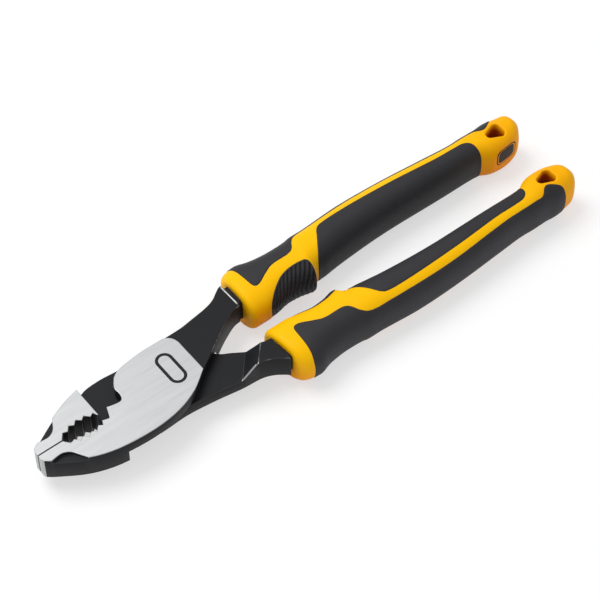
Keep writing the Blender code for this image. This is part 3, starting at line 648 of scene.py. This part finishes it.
def core_mesh(name, side, letter):
    """Hard core: loops round the grip, from the middle of the front face over its round edge
    along the grip to the middle of the end, sunk under the soft pads."""
    turn = np.linspace(0, math.pi / 2, 7)
    front = np.stack([COLLAR_ROUND * (1 - np.sin(turn)),
                      1 - COLLAR_ROUND / GRIP_HALF * (1 - np.cos(turn))], -1)[::-1]
    flat = np.stack([np.zeros(6), np.linspace(0, front[0, 1], 6, endpoint=False)], -1)
    body = np.linspace((COLLAR_ROUND, 1), (BODY_END, 1), CORE_LOOPS)[1:]
    turn = np.linspace(0, math.pi / 2, 9)[1:]
    end = np.stack([BODY_END + END_BULGE * np.sin(turn), np.cos(turn) ** 0.8], -1)
    rows = np.vstack([flat, front, body, end])
    angle = np.linspace(0, 2 * math.pi, CORE_STEPS, endpoint=False)
    distance, around = np.meshgrid(rows[:, 0], angle, indexing="ij")
    shrink = np.broadcast_to(rows[:, 1:], distance.shape)
    sunk = np.zeros(distance.shape)
    for rim, inward in pad_rims(letter).values():
        turned = (math.pi - around if inward else around) + math.pi
        unrolled = (turned % (2 * math.pi) - math.pi) * UNROLL
        inside = rim_distance(np.stack([distance, unrolled], -1), rim[::2])
        sunk = np.maximum(sunk, smooth_step(inside, 0.3, PAD_ROUND) * PAD_POCKET)
    return loop_mesh(name, grip_surface(side, distance, around, -sunk, shrink))


PLATE_SHARE = 0.44                    # along the flat, middle of the plate
PLATE_RAISE = 1.2
PLATE_HALF = (4.8, 3.7)
PLATE_POWER = 4.0
# share of the plate's size, height above the flat
PLATE_STEPS = np.array([
    (0.0, -1.0), (0.9, -1.0), (1.0, -0.7), (1.0, 0.02), (0.985, 0.10), (0.95, 0.13),
    (0.90, 0.12), (0.87, 0.05), (0.81, 0.05), (0.78, 0.12), (0.60, 0.15), (0.30, 0.17),
    (0.0, 0.18)])
PLATE_RING = (0.80, 0.89)             # the pale ring lies between these shares


def plate_axes():
    """Middle of the end face's plate and its axes: along, up and out of the grip."""
    (x0, y0), (x1, y1) = END_FACE
    length = math.hypot(x1 - x0, y1 - y0)
    along = np.array([(x1 - x0) / length, (y1 - y0) / length, 0.0])
    middle = np.array([GRIP_FRONT + x0 + (x1 - x0) * PLATE_SHARE, y0 + (y1 - y0) * PLATE_SHARE,
                       GRIP_MIDDLE + PLATE_RAISE])
    return middle, along, np.array([0.0, 0.0, 1.0]), np.array([along[1], -along[0], 0.0])


def plate_mesh(name):
    """Plate in the far grip's end: superellipse rings a|cos|^(2/p), b|sin|^(2/p), scaled and
    raised by the steps of its profile; faces between the ring's shares take material 1."""
    middle, along, up, out = plate_axes()
    angle = np.linspace(0, 2 * math.pi, 96, endpoint=False)
    u = PLATE_HALF[0] * bent(np.cos(angle), PLATE_POWER) * PLATE_STEPS[:, :1]
    v = PLATE_HALF[1] * bent(np.sin(angle), PLATE_POWER) * PLATE_STEPS[:, :1]
    raised = np.broadcast_to(PLATE_STEPS[:, 1:], u.shape)
    points = middle + u[..., None] * along + v[..., None] * up + raised[..., None] * out
    mesh = loop_mesh(name, points)
    centres = np.empty(len(mesh.polygons) * 3)
    mesh.polygons.foreach_get("center", centres)
    place = (centres.reshape(-1, 3) - (NOSE_X, 0, 0)) / MM - middle
    share = ((np.abs(place @ along) / PLATE_HALF[0]) ** PLATE_POWER
             + (np.abs(place @ up) / PLATE_HALF[1]) ** PLATE_POWER) ** (1 / PLATE_POWER)
    ring = (share > PLATE_RING[0]) & (share < PLATE_RING[1]) & (place @ out > 0)
    mesh.polygons.foreach_set("material_index", ring.astype(np.int32))
    return mesh


def hole_ring(offset):
    """Plan outline of the hanging hole, moved out by an offset: each direction's farthest
    triangle corner plus a radius in that direction."""
    angle = np.linspace(0, 2 * math.pi, HOLE_STEPS, endpoint=False)
    heading = np.stack([np.cos(angle), np.sin(angle)], -1)
    corner = HOLE_CENTRES[np.argmax(heading @ HOLE_CENTRES.T, axis=1)]
    return corner + heading * (HOLE_RADIUS + offset)


def hole_lining(name, side):
    """Lining of the hanging hole: a quarter circle from the grip's top into the wall, the same
    below, and a hidden wall behind that closes the ring."""
    turn = np.linspace(0, math.pi / 2, 9)
    offset = np.concatenate([[HOLE_ROUND + HOLE_OVERLAP], HOLE_ROUND * (1 - np.sin(turn))])
    drop = np.concatenate([[0.03], HOLE_ROUND * (1 - np.cos(turn))])
    rows = []
    for sign in (1, -1):
        for out, fall in list(zip(offset, drop))[::sign]:
            ring = hole_ring(out)
            inner, outer, height = grip_profile(ring[:, 0])
            share = np.abs((ring[:, 1] - (inner + outer) / 2) / ((outer - inner) / 2))
            level = height * (1 - share ** SECTION_POWER) ** (1 / SECTION_POWER) - fall
            rows.append(np.column_stack([ring, sign * level]))
    for level in (-6.0, 6.0):
        wall = hole_ring(HOLE_ROUND + HOLE_OVERLAP)
        rows.append(np.column_stack([wall, np.full(HOLE_STEPS, level)]))
    rows.append(rows[0])
    return loop_mesh(name, np.array(rows) * (1, side, 1) + (GRIP_FRONT, 0, GRIP_MIDDLE))


def cut_hole(mesh, side):
    """Cuts the hanging hole out of a core with a closed prism, and adds the lining."""
    ring = hole_ring(HOLE_ROUND + 0.02)
    middle = np.broadcast_to(ring.mean(0), ring.shape)
    rows = [np.column_stack([loop, np.full(HOLE_STEPS, level)])
            for loop, level in ((middle, -HOLE_CUT_HALF), (ring, -HOLE_CUT_HALF),
                                (ring, HOLE_CUT_HALF), (middle, HOLE_CUT_HALF))]
    points = np.array(rows) * (1, side, 1) + (GRIP_FRONT, 0, GRIP_MIDDLE)
    tool = bpy.data.objects.new("hole_cutter", loop_mesh("hole_cutter", points))
    core = bpy.data.objects.new("core", mesh)
    for obj in (tool, core):
        bpy.context.scene.collection.objects.link(obj)
    cut = core.modifiers.new("hole", "BOOLEAN")
    cut.object, cut.operation, cut.solver = tool, "DIFFERENCE", "EXACT"
    bpy.context.view_layer.update()
    result = bpy.data.meshes.new_from_object(
        core.evaluated_get(bpy.context.evaluated_depsgraph_get()))
    for obj in (tool, core):
        bpy.data.objects.remove(obj)
    add_shell(result, hole_lining("lining", side))
    return result


# ---------------------------------------------------------------- levers
LAST_TIP = (23.8, 1.33)               # tip of lever B's last tooth, millimetres
FIN_BOX = ((4.0, 0.2), (23.0, 1.5))   # low x and y, high x and y


def clear_mouth(mesh):
    """Draws the points of lever B's hair-thin fin across the toothed mouth into the last
    tooth: all points whose x and y lie in a box move to the tooth's tip at their own height."""
    points = np.empty(len(mesh.vertices) * 3, np.float32)
    mesh.vertices.foreach_get("co", points)
    plan = points.reshape(-1, 3)[:, :2]
    place = (plan - (NOSE_X, 0)) / MM
    low, high = np.array(FIN_BOX)
    plan[((place > low) & (place < high)).all(1)] = np.array(LAST_TIP) * MM + (NOSE_X, 0)
    mesh.vertices.foreach_set("co", points)


def rounded_copy(node):
    """Merged copy of a node whose sharp edges are cut to two-step rounds.

    Flat regions are joined first, and edges too short to carry a round are collapsed."""
    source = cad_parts[node].data.copy()
    if node == "lever_b":
        clear_mouth(source)
    shape = bmesh.new()
    shape.from_mesh(source)
    bpy.data.meshes.remove(source)
    bmesh.ops.remove_doubles(shape, verts=shape.verts, dist=0.002 * MM)
    bmesh.ops.dissolve_limit(shape, angle_limit=math.radians(0.5), verts=shape.verts,
                             edges=shape.edges)
    bmesh.ops.dissolve_degenerate(shape, dist=0.2 * MM, edges=shape.edges)
    edges = [e for e in shape.edges if e.is_manifold
             and e.calc_face_angle() > math.radians(30)]
    bmesh.ops.bevel(shape, geom=edges, offset=sizes().edge, offset_type="OFFSET", segments=2,
                    profile=0.5, affect="EDGES", clamp_overlap=False, material=1,
                    loop_slide=True)
    bmesh.ops.triangulate(shape, faces=shape.faces)
    for face in shape.faces:
        face.smooth = True
    for edge in shape.edges:
        flat = max(abs(face.normal.z) for face in edge.link_faces) > 0.9999
        edge.smooth = edge.calc_face_angle() < math.radians(2 if flat else 25)
    mesh = bpy.data.meshes.new("lever_rounded")
    shape.to_mesh(mesh)
    shape.free()
    return mesh


NECK_START, NECK_END = 86.2, 92.0     # behind the nose tip
NECK_INSET = 0.7                      # narrower and thinner than the shank, each side
NECK_POWER = 7.0
SHANK_SIDES = {1: (8.8, 19.6), -1: (8.6, 19.4)}


def neck_mesh(name, side):
    """Short neck between a shank and its collar: rounded-rectangle sections, across
    w |cos|^(2/p) and up h |sin|^(2/p), that grow by a tenth toward the grip."""
    inner, outer = SHANK_SIDES[side]
    middle, half = (inner + outer) / 2, (outer - inner) / 2 - NECK_INSET
    top, bottom = HEAD_TOP / MM, HEAD_BOTTOM / MM
    x = np.array([NECK_START, NECK_START, 86.8, 87.6, 88.6, 90.0, NECK_END, NECK_END])
    grow = np.array([0.0, 1.0, 0.97, 0.96, 0.98, 1.02, 1.05, 0.0])[:, None]
    angle = np.linspace(0, 2 * math.pi, 48, endpoint=False)
    across = bent(np.cos(angle), NECK_POWER) * half * grow
    upward = bent(np.sin(angle), NECK_POWER) * ((top - bottom) / 2 - NECK_INSET)
    points = np.stack(np.broadcast_arrays(
        x[:, None], side * (middle + across),
        upward * np.minimum(grow, 1.0) + (top + bottom) / 2), -1)
    mesh = loop_mesh(name, points)
    mesh.shade_smooth()
    mesh.set_sharp_from_angle(angle=math.radians(40))
    return mesh


# raised lips of the shanks, painted bright as highlights: end points in millimetres, and half
# width
LIPS = {"a": ((86.3, 9.3, 15.2), (86.15, 18.9, 15.2), 0.36),
        "b": ((70.9, -13.85, 10.75), (76.3, -14.2, 15.15), 0.3)}
# boxes round them where bare steel is painted bright as a highlight: low x, high x, low y, high y,
# low z
HIGHLIGHT_BOXES = {"a": (85.8, 86.9, 8.6, 19.4, 15.0), "b": (70.4, 77.2, -14.9, -13.4, 7.0)}


def lip_mesh(name, start, end, half):
    """Slim bar from start to end: circles of the half width round the line, whose radius
    shrinks over the last stretch at both ends like a quarter circle."""
    start, end = np.array(start), np.array(end)
    along = (end - start) / np.linalg.norm(end - start)
    side = np.cross(along, (0.0, 0.0, 1.0))
    side /= np.linalg.norm(side)
    up = np.cross(side, along)
    share = np.array([0.0, 0.01, 0.04, 0.1, 0.5, 0.9, 0.96, 0.99, 1.0])[:, None]
    radius = half * np.sqrt(1 - np.clip(1 - np.minimum(share, 1 - share) / 0.1, 0, 1) ** 2)
    angle = np.linspace(0, 2 * math.pi, 16, endpoint=False)
    points = (start + share[..., None] * (end - start)
              + (radius * np.cos(angle))[..., None] * side
              + (radius * np.sin(angle))[..., None] * up)
    mesh = loop_mesh(name, points)
    mesh.shade_smooth()
    return mesh


def add_shell(mesh, shell, material=0):
    """Adds a closed shell's faces to a mesh, with the number of their material."""
    numbers = np.full(len(shell.polygons), material, np.int32)
    shell.polygons.foreach_set("material_index", numbers)
    shape = bmesh.new()
    shape.from_mesh(mesh)
    shape.from_mesh(shell)
    shape.to_mesh(mesh)
    shape.free()


# ---------------------------------------------------------------- operators
class PLIERS_OT_levers(bpy.types.Operator):
    """Finishes the two levers and rounds their edges"""
    bl_idname = "pliers.levers"
    bl_label = "Levers"

    def execute(self, context):
        for letter, side, ground_back, body, slot in (
                ("a", 1, GROUND_BACK_A, BODY_A, "brushed_steel"),
                ("b", -1, GROUND_BACK_B, BODY_B, "black_steel")):
            mesh = rounded_copy("lever_" + letter)
            add_shell(mesh, neck_mesh("neck", side))
            # the lip takes the edge finish, which paints it bright as a highlight inside its box
            add_shell(mesh, lip_mesh("lip", *LIPS[letter]), 1)
            finishes = [lever_finish("lever_steel_" + letter, ground_back, letter == "a"),
                        edge_finish("worn_edge_" + letter, ground_back, HIGHLIGHT_BOXES[letter])]
            add_piece("forged_lever_" + letter, mesh, finishes, body,
                      ["lever_" + letter], None)
        return {"FINISHED"}


class PLIERS_OT_pivot(bpy.types.Operator):
    """Finishes pin, washer and nut"""
    bl_idname = "pliers.pivot"
    bl_label = "Pivot"

    def execute(self, context):
        zinc = zinc_finish()
        for node in ("pivot_pin", "pivot_washer", "pivot_nut"):
            dress(node, zinc)
        return {"FINISHED"}


class PLIERS_OT_grips(bpy.types.Operator):
    """Finishes the cores and pads of both grips"""
    bl_idname = "pliers.grips"
    bl_label = "Grips"

    def execute(self, context):
        yellow, soft = yellow_finish(), soft_black_finish()
        for letter, side in (("a", 1), ("b", -1)):
            body = BODY_A if letter == "a" else BODY_B
            core = cut_hole(core_mesh("core", side, letter), side)
            add_piece("hard_grip_" + letter, core, [yellow], body,
                      ["grip_core_" + letter])
            for pad, (rim, inward) in pad_rims(letter).items():
                mesh = pad_mesh(pad, side, rim, inward, pad == "thumb_pad_")
                add_piece("soft_" + pad + letter, mesh, [soft], body,
                          [pad + letter])
        add_piece("end_plate", plate_mesh("end_plate"), [inset_finish(), yellow], BODY_A,
                  ["end_inset"])
        return {"FINISHED"}


# ---------------------------------------------------------------- stage
CAMERA_AZIMUTH = math.radians(-37.307)
CAMERA_ELEVATION = math.radians(52.184)
CAMERA_ROLL = math.radians(-0.707)
CAMERA_DISTANCE = 758.9 * MM
SENSOR_WIDTH = 36.0
CAMERA_LENS = 2255.4 / 600 * SENSOR_WIDTH     # focal length and picture width in pixels
CAMERA_TARGET = Vector((105.93 * MM + NOSE_X, 0.85 * MM, (HEAD_TOP + HEAD_BOTTOM) / 2))
WORLD_LIGHT = 0.56
KEY_PLACE = (-0.22, 0.42, 0.96)
KEY_SIZE = 0.7
KEY_POWER = 8.0
FLOOR_REACH = 3.0
FLOOR_LEVEL = -0.35 * MM
FLOOR_GLOW = 0.60             # share of plain white that the camera sees in the floor


def camera_axes():
    """Right, up and back of the camera."""
    a, e = CAMERA_AZIMUTH, CAMERA_ELEVATION
    back = Vector((math.sin(a) * math.cos(e), -math.cos(a) * math.cos(e), math.sin(e)))
    right = Vector((math.cos(a), math.sin(a), 0))
    up = back.cross(right)
    cos, sin = math.cos(CAMERA_ROLL), math.sin(CAMERA_ROLL)
    return right * cos + up * sin, up * cos - right * sin, back


class PLIERS_OT_stage(bpy.types.Operator):
    """Adds the floor, the lamp, the world and the camera"""
    bl_idname = "pliers.stage"
    bl_label = "Stage"

    def execute(self, context):
        scene = context.scene
        scene.view_settings.view_transform = "Standard"
        self.add_camera(scene)
        self.add_floor(scene)
        self.add_lamp(scene)
        world = bpy.data.worlds.new("studio")
        scene.world = world
        world.use_nodes = True
        background = world.node_tree.nodes["Background"].inputs
        background["Color"].default_value = (1, 1, 1, 1)
        background["Strength"].default_value = WORLD_LIGHT
        return {"FINISHED"}

    def add_lamp(self, scene):
        """A large soft disk, aimed at the frame's origin."""
        data = bpy.data.lights.new("key", "AREA")
        data.shape = "DISK"
        data.size = KEY_SIZE
        data.energy = KEY_POWER
        lamp = bpy.data.objects.new("key", data)
        scene.collection.objects.link(lamp)
        lamp.location = KEY_PLACE
        lamp.rotation_euler = (-Vector(KEY_PLACE)).to_track_quat("-Z", "Y").to_euler()

    def add_camera(self, scene):
        right, up, back = camera_axes()
        camera = bpy.data.objects.new("camera", bpy.data.cameras.new("camera"))
        scene.collection.objects.link(camera)
        turn = Matrix((right, up, back)).transposed().to_4x4()
        camera.matrix_world = Matrix.Translation(CAMERA_TARGET + back * CAMERA_DISTANCE) @ turn
        camera.data.sensor_width = SENSOR_WIDTH
        camera.data.lens = CAMERA_LENS
        camera.data.clip_start = 0.01
        scene.camera = camera

    def add_floor(self, scene):
        """A plane just under the grips, on which the tool lies."""
        mesh = bpy.data.meshes.new("floor")
        corners = [(x * FLOOR_REACH, y * FLOOR_REACH, FLOOR_LEVEL)
                   for x, y in ((-1, -1), (1, -1), (1, 1), (-1, 1))]
        mesh.from_pydata(corners, [], [(0, 1, 2, 3)])
        floor = bpy.data.objects.new("floor", mesh)
        scene.collection.objects.link(floor)
        shader = Shader("floor")
        shader.set(colour=toned(colours().floor), roughness=0.9, specular=0.1)
        shader.glow(FLOOR_GLOW)
        mesh.materials.append(shader.material)


class PLIERS_PT_panel(bpy.types.Panel):
    """Lists the pliers' colours, sizes and steps"""
    bl_idname = "PLIERS_PT_panel"
    bl_label = "Pliers"
    bl_space_type = "VIEW_3D"
    bl_region_type = "UI"
    bl_category = "Pliers"

    def draw(self, context):
        for group in (context.scene.pliers_colours, context.scene.pliers_sizes):
            for name in group.bl_rna.properties.keys():
                if name not in ("rna_type", "name"):
                    self.layout.prop(group, name)
        for operator in OPERATORS:
            self.layout.operator(operator.bl_idname)


OPERATORS = (PLIERS_OT_levers, PLIERS_OT_pivot, PLIERS_OT_grips, PLIERS_OT_stage)
CLASSES = (PliersColours, PliersSizes) + OPERATORS + (PLIERS_PT_panel,)


def register():
    for item in CLASSES:
        bpy.utils.register_class(item)
    bpy.types.Scene.pliers_colours = bpy.props.PointerProperty(type=PliersColours)
    bpy.types.Scene.pliers_sizes = bpy.props.PointerProperty(type=PliersSizes)


def unregister():
    del bpy.types.Scene.pliers_sizes
    del bpy.types.Scene.pliers_colours
    for item in reversed(CLASSES):
        bpy.utils.unregister_class(item)


def main():
    register()
    bpy.ops.pliers.levers()
    bpy.ops.pliers.pivot()
    bpy.ops.pliers.grips()
    bpy.ops.pliers.stage()


if __name__ == "__main__":
    main()
